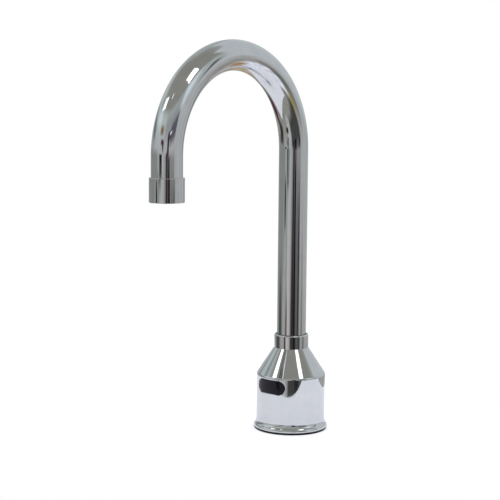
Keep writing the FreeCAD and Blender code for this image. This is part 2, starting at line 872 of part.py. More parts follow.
def board_components():
    """Controller chip in the middle of the board's back, with a capacitor each side."""
    half_length, height, half_height = chip_size[0] / 2, chip_size[1], chip_size[2] / 2
    chip = block((-half_length, half_length), (board_y, board_y + height),
                 (window_z - half_height, window_z + half_height))
    capacitors = []
    for side in (-1, 1):
        foot = V(side * led_x, board_y, window_z)
        capacitors.append(rod_along(height, foot, foot + V(0, height, 0)))
    return [chip] + capacitors


def infrared_diode(side):
    base = V(side * led_x, board_y - board_h, window_z)
    tip = base + V(0, -led_h, 0)
    return rod_along(led_r, base, tip).fuse(Part.makeSphere(led_r, tip)).removeSplitter()


def optical_divider():
    half_z = window_half_height - lens_wall - loose_gap
    shape = block((-divider_half_width, divider_half_width), (-body_r, board_y - board_h),
                  (window_z - half_z, window_z + half_z))
    return shape.common(rod(body_r - window_recess - lens_h, plate_z, cone_z + body_wall))


def sensor_bracket():
    """Flat strip across the back of the housing, screwed to the two bosses."""
    shape = block((-bracket_half_length, bracket_half_length), (housing_back_y, housing_back_y + bracket_h),
                  (window_z - bracket_half_height, window_z + bracket_half_height))
    for side in (-1, 1):
        start = V(side * boss_x, housing_back_y, window_z)
        shape = shape.cut(rod_along(bracket_screw_r, start, start + V(0, bracket_h, 0)))
    return shape


def bracket_screws():
    screws = []
    for side in (-1, 1):
        screw = cap_screw(bracket_screw_r, bracket_screw_length, bracket_screw_head_r,
                          bracket_screw_head_h, bracket_screw_r)
        screw.rotate(V(0, 0, 0), along_x, 90)
        screw.translate(V(side * boss_x, housing_back_y + bracket_h, window_z))
        screws.append(screw)
    return screws


# ---------- power ----------

def power_inlet():
    shape = rod(power_r, plate_z, power_z_top, 0, power_y)
    shape = shape.fuse(rod(power_flange_r, plate_z_top, plate_z_top + power_flange_h, 0, power_y))
    return shape.cut(rod(power_socket_r, plate_z, plate_z + power_socket_depth, 0, power_y))


def power_pin():
    return rod(power_pin_r, plate_z + power_pin_r, plate_z + power_socket_depth, 0, power_y)


def sensor_lead():
    housing_z = window_z - housing_half_height
    lead_y = board_y - board_h - lead_r
    return lead([
        V(-lead_offset, lead_y, housing_z),
        V(-lead_offset, lead_y, housing_z - lead_drop),
        V(-lead_offset, power_y, power_z_top + lead_rise),
        V(-lead_offset, power_y, power_z_top),
    ])


def valve_lead():
    coil_mid_z = (coil_z + core_tube_z_top) / 2
    return lead([
        V(coil_can_r, valve_y, coil_mid_z),
        V(lead_x, valve_y, coil_mid_z),
        V(lead_x, 0, valve_z_top - lead_bend_r),
        V(lead_offset, power_y, power_z_top + lead_rise),
        V(lead_offset, power_y, power_z_top),
    ])


def main():
    os.makedirs("parts", exist_ok=True)
    makers = [
        body_shell, base_gasket, base_plate, plate_screws,
        inlet_nipple, inlet_filter, nipple_seal,
        valve_body, diaphragm, valve_cover, cover_screws, core_tube,
        plunger, plunger_seal, plunger_spring,
        coil_can, coil_bobbin, coil_winding, riser_tube, riser_seals,
        thrust_washer, spout_ferrule, ferrule_seals, swivel_bush, stop_screw,
        spout_tube, outlet_nipple,
        aerator_shell, aerator_washer, aerator_cartridge, aerator_screens, flow_regulator,
        sensor_window, window_gasket, sensor_housing, circuit_board, board_components,
        optical_divider, sensor_bracket, bracket_screws,
        power_inlet, power_pin, sensor_lead, valve_lead,
    ]
    for maker in makers:
        save(maker.__name__, maker())
    save("infrared_emitter", infrared_diode(-1))
    save("infrared_receiver", infrared_diode(1))
    print(len(counts), "nodes,", sum(counts.values()), "solids")


main()
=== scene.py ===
import math

import bmesh
import bpy
import numpy as np
from mathutils import Matrix, Vector


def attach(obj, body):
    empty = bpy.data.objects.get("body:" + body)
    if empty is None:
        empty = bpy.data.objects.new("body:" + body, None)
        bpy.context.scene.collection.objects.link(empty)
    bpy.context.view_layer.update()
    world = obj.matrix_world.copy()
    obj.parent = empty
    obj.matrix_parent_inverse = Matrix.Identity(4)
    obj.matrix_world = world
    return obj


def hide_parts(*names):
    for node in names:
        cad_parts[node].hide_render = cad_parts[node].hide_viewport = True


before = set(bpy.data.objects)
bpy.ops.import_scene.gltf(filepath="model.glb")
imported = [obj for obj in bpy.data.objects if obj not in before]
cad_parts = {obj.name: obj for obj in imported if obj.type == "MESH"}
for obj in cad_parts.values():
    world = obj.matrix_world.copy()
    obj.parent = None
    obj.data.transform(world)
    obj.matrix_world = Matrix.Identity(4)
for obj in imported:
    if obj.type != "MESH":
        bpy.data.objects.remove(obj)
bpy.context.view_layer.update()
print("Frame loaded:", len(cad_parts), "nodes")

mm = 0.001


def toLinear(level):
    return level / 12.92 if level <= 0.04045 else ((level + 0.055) / 1.055) ** 2.4


def hexColour(code, strength=1.0):
    levels = [int(code[i:i + 2], 16) / 255 for i in (1, 3, 5)]
    return tuple(toLinear(level) * strength for level in levels) + (1.0,)


# Inputs go by name or number. A node given as an input stands for its first output. A Mix node's
# inputs go by number: 0 is the share, 2 and 3 are its values, 6 and 7 its colours.
def addNode(tree, kind, inputs=(), **settings):
    node = tree.nodes.new(kind)
    for name, value in settings.items():
        setattr(node, name, value)
    for key, value in inputs.items() if isinstance(inputs, dict) else enumerate(inputs):
        if isinstance(value, bpy.types.Node):
            value = value.outputs[0]
        if isinstance(value, bpy.types.NodeSocket):
            tree.links.new(value, node.inputs[key])
        else:
            node.inputs[key].default_value = value
    return node


def setStops(ramp, stops):
    elements = ramp.color_ramp.elements
    while len(elements) > 1:
        elements.remove(elements[-1])
    for i, (place, colour) in enumerate(stops):
        element = elements[0] if i == 0 else elements.new(place)
        element.position = place
        element.color = hexColour(colour) if isinstance(colour, str) else colour


# A finish is two close shades in a noise that also varies the roughness, with a fine bump.
finishes = {
    # bright chrome plate on polished brass: neutral mirror, faint polishing waves
    "polished_chrome": dict(shades=("#CCCED1", "#D2D3D5"), metallic=1.0, rough=(0.025, 0.06),
                            patchMm=9.0, grainMm=2.4, bump=0.010, bumpMm=0.02),
    # moulded nitrile rubber: near black, soft sheen, fine mould grain
    "black_rubber": dict(shades=("#0B0B0C", "#131315"), metallic=0.0, rough=(0.55, 0.72), gloss=0.25,
                         patchMm=3.0, grainMm=0.35, bump=0.25, bumpMm=0.05),
    # free-cutting brass as it leaves the lathe: warm, satin
    "turned_brass": dict(shades=("#DBC490", "#CDB27A"), metallic=1.0, rough=(0.26, 0.38),
                         patchMm=4.0, grainMm=0.6, bump=0.06, bumpMm=0.02),
    # A2 stainless steel, ground and passivated: cool grey satin
    "stainless_steel": dict(shades=("#B9BABA", "#A8A9AA"), metallic=1.0, rough=(0.2, 0.32),
                            patchMm=3.0, grainMm=0.25, bump=0.08, bumpMm=0.02),
    # glass-filled nylon moulding: matt charcoal with fine fibre specks
    "black_nylon": dict(shades=("#1C1D1F", "#27282A"), metallic=0.0, rough=(0.42, 0.58),
                        patchMm=2.5, grainMm=0.3, bump=0.2, bumpMm=0.03),
    # acetal moulding, natural: waxy white
    "white_acetal": dict(shades=("#E4E3DD", "#DAD9D2"), metallic=0.0, rough=(0.3, 0.42),
                         patchMm=4.0, grainMm=0.5, bump=0.08, bumpMm=0.02),
    # acetal moulding, dyed grey
    "grey_acetal": dict(shades=("#8D9092", "#808386"), metallic=0.0, rough=(0.3, 0.42),
                        patchMm=4.0, grainMm=0.5, bump=0.08, bumpMm=0.02),
    # infrared-passing acrylic: gloss black that turns faintly violet in the light
    "smoked_lens": dict(shades=("#15121B", "#0D0B12"), metallic=0.0, rough=(0.04, 0.09), gloss=0.2,
                        patchMm=7.0, grainMm=1.5, bump=0.01, bumpMm=0.02),
    # solder mask over glass epoxy: dark green, slight weave
    "circuit_board": dict(shades=("#14502F", "#1C6239"), metallic=0.0, rough=(0.28, 0.4),
                          patchMm=1.2, grainMm=0.4, bump=0.12, bumpMm=0.03),
    # enamelled copper wire: glossy orange brown
    "copper_wire": dict(shades=("#B4622E", "#9E5226"), metallic=1.0, rough=(0.22, 0.32),
                        patchMm=1.5, grainMm=0.3, bump=0.15, bumpMm=0.04),
    # water-clear epoxy diode: pale, glossy
    "clear_diode": dict(shades=("#C9CDD3", "#B9BEC6"), metallic=0.0, rough=(0.06, 0.12),
                        patchMm=2.0, grainMm=0.6, bump=0.02, bumpMm=0.02),
    # PVC lead jacket: black, soft satin
    "lead_jacket": dict(shades=("#19191B", "#222225"), metallic=0.0, rough=(0.38, 0.5),
                        patchMm=3.0, grainMm=0.3, bump=0.1, bumpMm=0.03),
}

# Only the middle of each noise's range is used, so that both of its ends show.
finishNoise = dict(patchDetail=3.0, patchRoughness=0.55, shadeRange=(0.35, 0.65), roughRange=(0.3, 0.7),
                   grainDetail=2.0)


def makeFinish(name, values):
    material = bpy.data.materials.new(name + "_finish")
    material.use_nodes = True
    tree = material.node_tree
    tree.nodes.clear()
    place = addNode(tree, "ShaderNodeTexCoord")
    patches = addNode(tree, "ShaderNodeTexNoise", {
        "Vector": place.outputs["Object"], "Scale": 1 / (values["patchMm"] * mm),
        "Detail": finishNoise["patchDetail"], "Roughness": finishNoise["patchRoughness"]})
    shades = addNode(tree, "ShaderNodeValToRGB", {"Fac": patches.outputs["Fac"]})
    setStops(shades, zip(finishNoise["shadeRange"], values["shades"]))
    grain = addNode(tree, "ShaderNodeTexNoise", {
        "Vector": place.outputs["Object"], "Scale": 1 / (values["grainMm"] * mm),
        "Detail": finishNoise["grainDetail"]})
    roughness = addNode(tree, "ShaderNodeMapRange", {
        "Value": patches.outputs["Fac"],
        "From Min": finishNoise["roughRange"][0], "From Max": finishNoise["roughRange"][1],
        "To Min": values["rough"][0], "To Max": values["rough"][1]})
    relief = addNode(tree, "ShaderNodeBump", {
        "Strength": values["bump"], "Distance": values["bumpMm"] * mm,
        "Height": grain.outputs["Fac"]})
    shader = addNode(tree, "ShaderNodeBsdfPrincipled", {
        "Base Color": shades.outputs["Color"], "Metallic": values["metallic"],
        "Roughness": roughness, "Normal": relief, "Specular IOR Level": values.get("gloss", 0.5)})
    addNode(tree, "ShaderNodeOutputMaterial", {"Surface": shader.outputs["BSDF"]})
    return material


finishOf = {name: makeFinish(name, values) for name, values in finishes.items()}
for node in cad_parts.values():
    for slot in node.material_slots:
        slot.material = finishOf[slot.material.name.split(".")[0]]
print("Finishes made:", len(finishOf))


# Corners are (radius, height) or (radius, height, fillet) in millimetres, the solid on the left.
# The result is a list of stretches: start, normal there, end, normal there.
def roundedOutline(corners, degreesPerStep=3.0, fewestSteps=3):
    points = [Vector((c[0], c[1])) for c in corners]
    fillets = [c[2] if len(c) > 2 else 0 for c in corners]
    arcs = []
    for i, point in enumerate(points):
        back = (points[i - 1] - point).normalized()
        ahead = (points[(i + 1) % len(points)] - point).normalized()
        if fillets[i] == 0:
            arcs.append(None)
            continue
        half = back.angle(ahead) / 2
        reach = fillets[i] / math.tan(half)
        centre = point + (back + ahead).normalized() * fillets[i] / math.sin(half)
        arcs.append((point + back * reach, centre, point + ahead * reach))
    stretches = []
    for i, point in enumerate(points):
        arc = arcs[i]
        if arc:
            start, centre, end = arc
            first, last = start - centre, end - centre
            turn = first.angle_signed(last)
            steps = max(fewestSteps, math.ceil(math.degrees(abs(turn)) / degreesPerStep))
            sign = 1 if turn < 0 else -1
            spokes = [Matrix.Rotation(-turn * k / steps, 2) @ first for k in range(steps + 1)]
            for a, b in zip(spokes, spokes[1:]):
                stretches.append((centre + a, a.normalized() * sign, centre + b, b.normalized() * sign))
        leave = arc[2] if arc else point
        following = arcs[(i + 1) % len(points)]
        arrive = following[0] if following else points[(i + 1) % len(points)]
        along = (arrive - leave).normalized()
        outward = Vector((along.y, -along.x))
        stretches.append((leave, outward, arrive, outward))
    return stretches


def turnedMesh(name, stretches, segments, centre=(0.0, 0.0)):
    mesh = bpy.data.meshes.new(name)
    rings = [stretch[0] for stretch in stretches]
    vertices, faces = [], []
    for point in rings:
        for k in range(segments):
            angle = 2 * math.pi * k / segments
            vertices.append(((centre[0] + point.x * math.cos(angle)) * mm,
                             (centre[1] + point.x * math.sin(angle)) * mm, point.y * mm))
    for i in range(len(rings)):
        below, above = i * segments, ((i + 1) % len(rings)) * segments
        for k in range(segments):
            nextK = (k + 1) % segments
            faces.append((below + k, below + nextK, above + nextK, above + k))
    mesh.from_pydata(vertices, [], faces)
    return mesh


# True normals of the turned outline keep mirror reflections smooth, also beside a cut. A face farther
# from the outline than this many millimetres is a cut's own, and stays flat.
def setTurnedNormals(mesh, stretches, centre=(0.0, 0.0), near=0.02):
    starts = np.array([s[0] for s in stretches]) * mm
    ends = np.array([s[2] for s in stretches]) * mm
    startNormals = np.array([s[1] for s in stretches])
    endNormals = np.array([s[3] for s in stretches])
    spans = ends - starts
    lengths = (spans ** 2).sum(1)
    middle = np.array(centre) * mm
    coords = np.array([v.co for v in mesh.vertices])
    flat = coords[:, :2] - middle
    outline = np.stack([np.hypot(flat[:, 0], flat[:, 1]), coords[:, 2]], 1)
    directions = flat / np.maximum(outline[:, :1], 1e-9)
    normals = [None] * len(mesh.loops)
    for polygon in mesh.polygons:
        inPlane = Vector(polygon.center[:2]) - Vector(middle)
        spot = np.array((inPlane.length, polygon.center.z))
        share = np.clip(((spot - starts) * spans).sum(1) / lengths, 0, 1)
        gaps = np.hypot(*(spot - starts - spans * share[:, None]).T)
        best = int(gaps.argmin())
        for index in polygon.loop_indices:
            if gaps[best] > near * mm:
                normals[index] = tuple(polygon.normal)
                continue
            vertex = mesh.loops[index].vertex_index
            along = ((outline[vertex] - starts[best]) * spans[best]).sum() / lengths[best]
            part = float(np.clip(along, 0, 1))
            turned = startNormals[best] * (1 - part) + endNormals[best] * part
            turned /= np.hypot(*turned)
            x, y = directions[vertex]
            normals[index] = (turned[0] * x, turned[0] * y, turned[1])
    mesh.polygons.foreach_set("use_smooth", [True] * len(mesh.polygons))
    mesh.normals_split_custom_set(normals)


def newObject(name, mesh):
    piece = bpy.data.objects.new(name, mesh)
    bpy.context.scene.collection.objects.link(piece)
    return piece


def faceOutward(mesh, touching=1e-7):   # metres
    work = bmesh.new()
    work.from_mesh(mesh)
    bmesh.ops.remove_doubles(work, verts=work.verts, dist=touching)
    bmesh.ops.recalc_face_normals(work, faces=work.faces)
    work.to_mesh(mesh)
    work.free()


# The evaluated result becomes the piece's own mesh, and its modifiers go.
def settle(piece):
    depsgraph = bpy.context.evaluated_depsgraph_get()
    mesh = bpy.data.meshes.new_from_object(piece.evaluated_get(depsgraph))
    piece.modifiers.clear()
    piece.data = mesh
    return mesh


# A cut leaves slivers thinner than this many millimetres, and points within a straight edge.
def mergeSlivers(mesh, thin=0.001):
    work = bmesh.new()
    work.from_mesh(mesh)
    bmesh.ops.remove_doubles(work, verts=work.verts, dist=thin * mm)
    bmesh.ops.dissolve_degenerate(work, edges=work.edges, dist=thin * mm)
    between = [point for point in work.verts if len(point.link_edges) == 2]
    bmesh.ops.dissolve_verts(work, verts=between)
    work.to_mesh(mesh)
    work.free()


def cutAway(piece, cutters):
    for cutter in cutters:
        cut = piece.modifiers.new("cut", "BOOLEAN")
        cut.operation = "DIFFERENCE"
        cut.solver = "EXACT"
        cut.object = cutter
    mergeSlivers(settle(piece))
    for cutter in cutters:
        bpy.data.objects.remove(cutter)


def smoothExceptEdges(mesh, degrees=35):
    mesh.polygons.foreach_set("use_smooth", [True] * len(mesh.polygons))
    mesh.set_sharp_from_angle(angle=math.radians(degrees))


def finishPiece(piece, body, slot, nodes):
    piece.data.materials.clear()
    piece.data.materials.append(finishOf[slot])
    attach(piece, body)
    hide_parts(*nodes)


# The sensor window is a plate with full-round ends, wrapped on the round body. It lies a little below
# the surface, in an opening with a shallow rebate round it.
window = dict(halfLength=12.7, halfHeight=5.45, z=35.65, endSteps=28, sideSteps=26, rings=14,
              recess=0.15, rebate=0.45, rebateDepth=0.25, edge=0.3, edgeSteps=6, depth=3.25, fit=0.1,
              backRings=(0.75, 0.5, 0.25), cutterHalf=5.0, cutterRing=0.5)


def windowEdge(grow):
    half = window["halfHeight"] + grow
    straight = window["halfLength"] - window["halfHeight"]
    points = []
    for side in (1, -1):
        for k in range(window["endSteps"]):
            angle = math.pi * k / window["endSteps"] - math.pi / 2
            points.append((side * (straight + half * math.cos(angle)), side * half * math.sin(angle)))
        for k in range(window["sideSteps"]):
            points.append((side * (straight - 2 * straight * k / window["sideSteps"]), side * half))
    return points


# Loops are (share of the edge outline, growth, radius on the body), from the middle of the front to
# the middle of the back.
def wrappedPlate(name, loops):
    vertices, faces = [], []
    count = len(windowEdge(0))
    for share, grow, radius in loops:
        for x, z in windowEdge(grow):
            x, z = x * share, z * share
            vertices.append((x * mm, -math.sqrt(radius ** 2 - x ** 2) * mm, (window["z"] + z) * mm))
    for i in range(len(loops) - 1):
        here, there = i * count, (i + 1) * count
        for k in range(count):
            nextK = (k + 1) % count
            faces.append((here + k, here + nextK, there + nextK, there + k))
    for loop in (0, len(loops) - 1):
        first = loop * count
        half = count // 2
        for k in range(half - 1):
            faces.append((first + k, first + k + 1, first + count - 2 - k, first + count - 1 - k))
    mesh = bpy.data.meshes.new(name)
    mesh.from_pydata(vertices, [], faces)
    faceOutward(mesh)
    return mesh


def plateBetween(name, grow, innerR, outerR):
    ring = window["cutterRing"]
    return newObject(name, wrappedPlate(name, [(ring, grow, outerR), (1, grow, outerR),
                                               (1, grow, innerR), (ring, grow, innerR)]))


def makeLens():
    front = body["radius"] - window["recess"]
    edge, rings = window["edge"], window["rings"]
    inset = -window["fit"]
    loops = [(k / rings, inset - edge, front) for k in range(1, rings + 1)]
    for k in range(1, window["edgeSteps"] + 1):
        angle = math.pi / 2 * k / window["edgeSteps"]
        loops.append((1, inset - edge * (1 - math.sin(angle)), front - edge * (1 - math.cos(angle))))
    back = front - window["depth"]
    loops += [(1, inset, back)] + [(share, inset, back) for share in window["backRings"]]
    lens = newObject("sensorLens", wrappedPlate("sensorLens", loops))
    smoothExceptEdges(lens.data)
    finishPiece(lens, "base", "smoked_lens", ["sensor_window"])


# The body is one turned casting: foot, cylinder, cone and collar. Its window and the stop screw's
# hole at the back are cut in.
body = dict(radius=26.4, segments=288, corners=[
    (24.4, 1.5), (28.37, 1.5, 0.4), (28.37, 3.1, 3.3), (26.4, 5.85, 6.6),
    (26.4, 42.6, 3.0), (13.1, 63.1, 0.25), (13.1, 73.5, 1.08), (12.0, 73.5),
    (12.0, 46.5), (3.0, 46.5), (3.0, 43.0), (15.0, 43.0), (15.0, 52.0), (16.7, 52.0),
    (23.4, 42.6), (23.4, 7.5), (24.4, 7.5)])
stopHole = dict(radius=2.0, y=19.0, z=57.0, length=14.2, segments=48)


def makeBody():
    outline = roundedOutline(body["corners"])
    mesh = turnedMesh("bodyCasting", outline, body["segments"])
    faceOutward(mesh)
    casting = newObject("bodyCasting", mesh)
    outside = body["radius"] + window["cutterHalf"]
    inside = body["radius"] - window["cutterHalf"]
    seat = body["radius"] - window["rebateDepth"]
    cutAway(casting, [plateBetween("opening", 0, inside, outside),
                      plateBetween("rebate", window["rebate"], seat, outside), makeStopHole()])
    setTurnedNormals(casting.data, outline)
    finishPiece(casting, "base", "polished_chrome", ["body_shell"])


def makeStopHole():
    mesh = bpy.data.meshes.new("hole")
    work = bmesh.new()
    radius = stopHole["radius"] * mm
    middle = Matrix.Translation((0, stopHole["y"] * mm, stopHole["z"] * mm))
    place = middle @ Matrix.Rotation(math.pi / 2, 4, "X")
    bmesh.ops.create_cone(work, cap_ends=True, segments=stopHole["segments"], radius1=radius,
                          radius2=radius, depth=stopHole["length"] * mm, matrix=place)
    work.to_mesh(mesh)
    work.free()
    return newObject("hole", mesh)


makeLens()
makeBody()
print("Body and window made")

# The gasket is a flat ring with a lip that stands in the foot's recess.
gasket = dict(segments=256, corners=[
    (20.0, 0.0, 0.15), (27.9, 0.0, 0.12), (27.9, 1.5, 0.08), (24.3, 1.5), (24.3, 2.5), (23.2, 2.5),
    (23.2, 1.5), (20.0, 1.5, 0.2)])
outlet = dict(x=0.0, y=-140.0)
# The aerator's shell is open below, and holds the screens on an inner shoulder.
aeratorRing = dict(segments=192, corners=[
    (9.4, 183.9, 0.2), (12.44, 183.9, 0.45), (12.44, 201.0, 0.3), (11.05, 201.0),
    (11.05, 190.4), (10.4, 190.4), (10.4, 185.4), (9.4, 185.4)])


def makeTurned(name, sizes, rideOn, slot, nodes, centre=(0.0, 0.0)):
    outline = roundedOutline(sizes["corners"])
    mesh = turnedMesh(name, outline, sizes["segments"], centre)
    faceOutward(mesh)
    setTurnedNormals(mesh, outline, centre)
    finishPiece(newObject(name, mesh), rideOn, slot, nodes)


makeTurned("footGasket", gasket, "base", "black_rubber", ["base_gasket"])
makeTurned("aeratorRing", aeratorRing, "aerator", "polished_chrome", ["aerator_shell"],
           (outlet["x"], outlet["y"]))
print("Gasket and aerator ring made")


# A tree starts with the blank's geometry and one named input for each size.
def newTree(name, sizes):
    tree = bpy.data.node_groups.new(name, "GeometryNodeTree")
    tree.interface.new_socket("Geometry", in_out="OUTPUT", socket_type="NodeSocketGeometry")
    tree.interface.new_socket("Geometry", in_out="INPUT", socket_type="NodeSocketGeometry")
    for label, value in sizes.items():
        kind = "NodeSocketInt" if isinstance(value, int) else "NodeSocketFloat"
        tree.interface.new_socket(label, in_out="INPUT", socket_type=kind).default_value = value
    return tree, addNode(tree, "NodeGroupInput").outputs


# Realizes and paints the result, then turns it into a plain mesh.
def growPiece(name, tree, geometry, sizes, slot, blank=None):
    real = addNode(tree, "GeometryNodeRealizeInstances", [geometry])
    painted = addNode(tree, "GeometryNodeSetMaterial", {"Geometry": real, "Material": finishOf[slot]})
    addNode(tree, "NodeGroupOutput", [painted])
    piece = newObject(name, blank or bpy.data.meshes.new(name))
    modifier = piece.modifiers.new(name, "NODES")
    modifier.node_group = tree
    for item in tree.interface.items_tree:
        if item.in_out == "INPUT" and item.name in sizes:
            modifier[item.identifier] = sizes[item.name]
    settle(piece)
    return piece


gooseneck = {"tube radius": 11.11 * mm, "bend radius": 70.0 * mm, "foot height": 61.0 * mm,
             "bend height": 215.3 * mm, "outlet height": 201.1 * mm, "stations": 420, "sides": 96}
gooseneckWall = 1.0   # millimetres


# A straight tube's line stands along Z and is turned over the bend's centre.
def makeSpout():
    tree, given = newTree("gooseneck", gooseneck)
    bendLength = addNode(tree, "ShaderNodeMath", [given["bend radius"], math.pi], operation="MULTIPLY")
    bendEnd = addNode(tree, "ShaderNodeMath", [given["bend height"], bendLength], operation="ADD")
    leg = addNode(tree, "ShaderNodeMath", [given["bend height"], given["outlet height"]],
                  operation="SUBTRACT")
    top = addNode(tree, "ShaderNodeMath", [bendEnd, leg], operation="ADD")
    start = addNode(tree, "ShaderNodeCombineXYZ", {"Z": given["foot height"]})
    end = addNode(tree, "ShaderNodeCombineXYZ", {"Z": top})
    line = addNode(tree, "GeometryNodeCurvePrimitiveLine", {"Start": start, "End": end})
    fine = addNode(tree, "GeometryNodeResampleCurve", {"Curve": line, "Count": given["stations"]})
    place = addNode(tree, "ShaderNodeSeparateXYZ", [addNode(tree, "GeometryNodeInputPosition")])
    turn = addNode(tree, "ShaderNodeMapRange", {
        "Value": place.outputs["Z"], "From Min": given["bend height"], "From Max": bendEnd,
        "To Min": 0.0, "To Max": math.pi})
    used = addNode(tree, "ShaderNodeMath", [turn, given["bend radius"]], operation="MULTIPLY")
    left = addNode(tree, "ShaderNodeMath", [place.outputs["Z"], used], operation="SUBTRACT")
    upright = addNode(tree, "ShaderNodeCombineXYZ", {"Z": left})
    inward = addNode(tree, "ShaderNodeMath", [given["bend radius"], -1.0], operation="MULTIPLY")
    centre = addNode(tree, "ShaderNodeCombineXYZ", {"Y": inward, "Z": given["bend height"]})
    turned = addNode(tree, "ShaderNodeVectorRotate", {
        "Vector": upright, "Center": centre, "Angle": turn}, rotation_type="X_AXIS")
    path = addNode(tree, "GeometryNodeSetPosition", {"Geometry": fine, "Position": turned})
    section = addNode(tree, "GeometryNodeCurvePrimitiveCircle", {
        "Resolution": given["sides"], "Radius": given["tube radius"]})
    tube = addNode(tree, "GeometryNodeCurveToMesh", {"Curve": path, "Profile Curve": section})
    spout = growPiece("gooseneckTube", tree, tube, gooseneck, "polished_chrome")
    faceOutward(spout.data)
    sample = spout.data.polygons[0]   # at the foot: an open tube has no outside of its own
    if sample.normal.to_2d().dot(sample.center.to_2d()) < 0:
        spout.data.flip_normals()
    wall = spout.modifiers.new("wall", "SOLIDIFY")
    wall.thickness = gooseneckWall * mm
    wall.offset = -1
    wall.use_even_offset = True
    settle(spout)
    smoothExceptEdges(spout.data)
    finishPiece(spout, "spout", "polished_chrome", ["spout_tube"])


makeSpout()
print("Gooseneck made")

# Crest and root are the ends of the flank as shares of the pitch.
outletThread = {"pitch": 1.0 * mm, "depth": 0.6 * mm, "crest": 0.06, "root": 0.44,
                "wall radius": 10.95 * mm, "crest radius": 11.0 * mm,
                "thread end": 200.9 * mm, "run-out": 1.2 * mm, "outlet y": outlet["y"] * mm}
nippleBlank = dict(segments=128, rings=112, low=193.1, high=201.1, chamfer=0.7, boreR=8.5, spigotR=10.11,
                   spigotTop=208.1, smoothBelow=50)


# The thread is sunk into a turned blank whose outer wall has many fine rings.
def makeOutletNipple():
    low, high, chamfer = nippleBlank["low"], nippleBlank["high"], nippleBlank["chamfer"]
    crest = outletThread["crest radius"] / mm
    rings = nippleBlank["rings"]
    step = (high - low - chamfer) / rings
    corners = [(nippleBlank["boreR"], low), (crest - chamfer, low)]
    corners += [(crest, low + chamfer + step * k) for k in range(rings + 1)]
    corners += [(nippleBlank["spigotR"], high), (nippleBlank["spigotR"], nippleBlank["spigotTop"]),
                (nippleBlank["boreR"], nippleBlank["spigotTop"])]
    blank = turnedMesh("outletNipple", roundedOutline(corners), nippleBlank["segments"])
    faceOutward(blank)
    tree, given = newTree("outletThread", outletThread)
    position = addNode(tree, "GeometryNodeInputPosition")
    place = addNode(tree, "ShaderNodeSeparateXYZ", [position])
    flat = addNode(tree, "ShaderNodeVectorMath", [position, (1.0, 1.0, 0.0)], operation="MULTIPLY")
    radius = addNode(tree, "ShaderNodeVectorMath", [flat], operation="LENGTH").outputs["Value"]
    onWall = addNode(tree, "FunctionNodeCompare", [radius, given["wall radius"]], operation="GREATER_THAN")
    angle = addNode(tree, "ShaderNodeMath", [place.outputs["Y"], place.outputs["X"]], operation="ARCTAN2")
    turns = addNode(tree, "ShaderNodeMath", [angle, 2 * math.pi], operation="DIVIDE")
    climb = addNode(tree, "ShaderNodeMath", [place.outputs["Z"], given["pitch"]], operation="DIVIDE")
    phase = addNode(tree, "ShaderNodeMath", [climb, turns], operation="SUBTRACT")
    flank = addNode(tree, "ShaderNodeMath", [phase, 0.5], operation="PINGPONG")
    share = addNode(tree, "ShaderNodeMapRange", {
        "Value": flank, "From Min": given["crest"], "From Max": given["root"]})
    fadeStart = addNode(tree, "ShaderNodeMath", [given["thread end"], given["run-out"]],
                        operation="SUBTRACT")
    fade = addNode(tree, "ShaderNodeMapRange", {
        "Value": place.outputs["Z"], "From Min": fadeStart, "From Max": given["thread end"],
        "To Min": 1.0, "To Max": 0.0})
    deep = addNode(tree, "ShaderNodeMath", [share, given["depth"]], operation="MULTIPLY")
    sunk = addNode(tree, "ShaderNodeMath", [deep, fade], operation="MULTIPLY")
    ratio = addNode(tree, "ShaderNodeMath", [sunk, given["crest radius"]], operation="DIVIDE")
    inward = addNode(tree, "ShaderNodeVectorMath", {0: flat, "Scale": ratio}, operation="SCALE")
    inwardShift = addNode(tree, "ShaderNodeVectorMath", {0: inward, "Scale": -1.0}, operation="SCALE")
    threaded = addNode(tree, "GeometryNodeSetPosition", {
        "Geometry": given["Geometry"], "Selection": onWall, "Offset": inwardShift})
    shift = addNode(tree, "ShaderNodeCombineXYZ", {"Y": given["outlet y"]})
    placed = addNode(tree, "GeometryNodeTransform", {"Geometry": threaded, "Translation": shift})
    nipple = growPiece("outletNipple", tree, placed, outletThread, "turned_brass", blank)
    smoothExceptEdges(nipple.data, nippleBlank["smoothBelow"])
    finishPiece(nipple, "spout", "turned_brass", ["outlet_nipple"])


makeOutletNipple()

# The weave is coarser than the real cloth's, so that it shows.
wireCloth = {"cloth radius": 9.35 * mm, "wire spacing": 1.25 * mm, "wire radius": 0.1 * mm,
             "wave": 0.1 * mm, "wire sides": 5, "wires": 15, "stations": 105, "layers": 2,
             "first layer": 185.6 * mm, "layer step": 1.2 * mm, "outlet y": outlet["y"] * mm}


